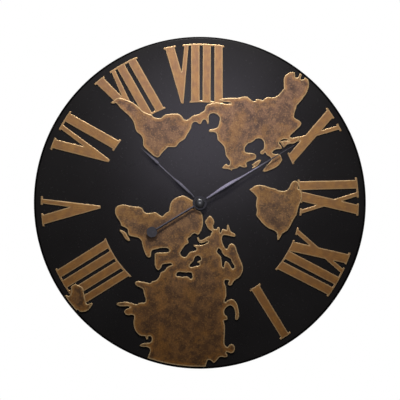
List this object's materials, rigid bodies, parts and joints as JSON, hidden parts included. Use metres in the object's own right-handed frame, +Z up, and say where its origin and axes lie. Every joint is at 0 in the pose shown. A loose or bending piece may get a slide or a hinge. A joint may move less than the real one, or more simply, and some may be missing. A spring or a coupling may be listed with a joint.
{
  "type": "world time clock",
  "caption": "Round wall clock with a black dial pan, raised Roman numerals, a raised world map, leaf hands, a geared quartz movement with a battery cell, and a keyhole hanger.",
  "frame": {"origin": "on the axis of the hands, in the plane of the wall", "axes": "+Z up, +X right as seen from the front, +Y from the dial towards the wall; the dial faces -Y"},
  "size_m": [0.6, 0.0425, 0.6],
  "materials": {
    "dial_black": "satin black powder coat",
    "numeral_bronze": "dark patina, brushed to gold, lighter at the edges",
    "map_bronze": "mottled brown patina, lighter at the edges",
    "bracket_black": "satin black",
    "hand_black": "satin black",
    "cap_black": "gloss black",
    "hub_brass": "turned",
    "case_plastic": "fine moulded grain",
    "knob_plastic": "smooth",
    "plate_plastic": "smooth",
    "wheel_plastic": "smooth",
    "gasket_rubber": "matte",
    "magnet_dark": "ground",
    "motor_steel": "stamped",
    "winding_copper": "enamelled wire",
    "board_green": "solder mask",
    "chip_black": "moulded resin",
    "crystal_can": "drawn can",
    "contact_nickel": "nickel plate",
    "cell_jacket": "printed jacket, plain"
  },
  "bodies": {
    "root": {"dial_pan": "dial_black", "numeral_viii": "numeral_bronze", "numeral_x": "numeral_bronze", "numeral_ix": "numeral_bronze", "numeral_xii": "numeral_bronze", "numeral_i": "numeral_bronze", "numeral_iiii": "numeral_bronze", "numeral_v": "numeral_bronze", "numeral_vi": "numeral_bronze", "numeral_vii": "numeral_bronze", "map_americas": "map_bronze", "map_arctic_island": "map_bronze", "map_greenland": "map_bronze", "map_africa_eurasia": "map_bronze", "map_madagascar": "map_bronze", "map_australia": "map_bronze", "hanger_bracket": "bracket_black", "case_front": "case_plastic", "case_back": "case_plastic", "rubber_gasket": "gasket_rubber", "threaded_bush": "hub_brass", "hex_nut": "hub_brass", "dial_washer": "hub_brass", "gear_plate": "plate_plastic", "train_bridge": "plate_plastic", "stator_plate": "motor_steel", "coil_core": "motor_steel", "coil_bobbin": "plate_plastic", "coil_winding": "winding_copper", "circuit_board": "board_green", "chip": "chip_black", "quartz_crystal": "crystal_can", "contact_plus": "contact_nickel", "contact_minus": "contact_nickel"},
    "minute_hand_body": {"minute_arbor": "hub_brass", "minute_wheel": "wheel_plastic", "minute_collet": "hub_brass", "minute_hand": "hand_black", "cap_nut": "cap_black"},
    "hour_hand_body": {"hour_wheel": "wheel_plastic", "hour_collet": "hub_brass", "hour_hand": "hand_black"},
    "reverse_wheel_body": {"reverse_wheel": "wheel_plastic"},
    "setting_knob_body": {"setting_knob": "knob_plastic"},
    "third_wheel_body": {"third_wheel": "wheel_plastic"},
    "second_wheel_body": {"second_wheel": "wheel_plastic"},
    "intermediate_wheel_body": {"intermediate_wheel": "wheel_plastic"},
    "rotor_body": {"rotor": "wheel_plastic", "rotor_magnet": "magnet_dark"},
    "battery_body": {"battery_cell": "cell_jacket"}
  },
  "joints": [
    {"name": "minute_turn", "type": "hinge", "parent": "root", "child": "minute_hand_body", "pos_m": [0, 0, 0], "axis": [0, 1, 0], "continuous": true},
    {"name": "hour_turn", "type": "hinge", "parent": "root", "child": "hour_hand_body", "pos_m": [0, 0, 0], "axis": [0, 1, 0], "continuous": true},
    {"name": "reverse_turn", "type": "hinge", "parent": "root", "child": "reverse_wheel_body", "pos_m": [-0.00896, 0, 0], "axis": [0, 1, 0], "continuous": true},
    {"name": "knob_turn", "type": "hinge", "parent": "root", "child": "setting_knob_body", "pos_m": [-0.01507, 0, 0.00611], "axis": [0, 1, 0], "continuous": true},
    {"name": "third_turn", "type": "hinge", "parent": "root", "child": "third_wheel_body", "pos_m": [0.00504, 0, 0.00873], "axis": [0, 1, 0], "continuous": true},
    {"name": "second_turn", "type": "hinge", "parent": "root", "child": "second_wheel_body", "pos_m": [0.01335, 0, 0.01175], "axis": [0, 1, 0], "continuous": true},
    {"name": "intermediate_turn", "type": "hinge", "parent": "root", "child": "intermediate_wheel_body", "pos_m": [0.01088, 0, 0.01852], "axis": [0, 1, 0], "continuous": true},
    {"name": "rotor_turn", "type": "hinge", "parent": "root", "child": "rotor_body", "pos_m": [0.00391, 0, 0.01913], "axis": [0, 1, 0], "continuous": true},
    {"name": "battery_slide", "type": "slide", "parent": "root", "child": "battery_body", "axis": [0, 1, 0], "range_m": [0, 0.02]}
  ],
  "couplings": [
    {"joint": "hour_turn", "follows": "minute_turn", "ratio": 0.083333},
    {"joint": "reverse_turn", "follows": "minute_turn", "ratio": -0.33333},
    {"joint": "knob_turn", "follows": "minute_turn", "ratio": 1.1667},
    {"joint": "third_turn", "follows": "minute_turn", "ratio": -8},
    {"joint": "second_turn", "follows": "minute_turn", "ratio": 60},
    {"joint": "intermediate_turn", "follows": "minute_turn", "ratio": -300},
    {"joint": "rotor_turn", "follows": "minute_turn", "ratio": 1800}
  ]
}
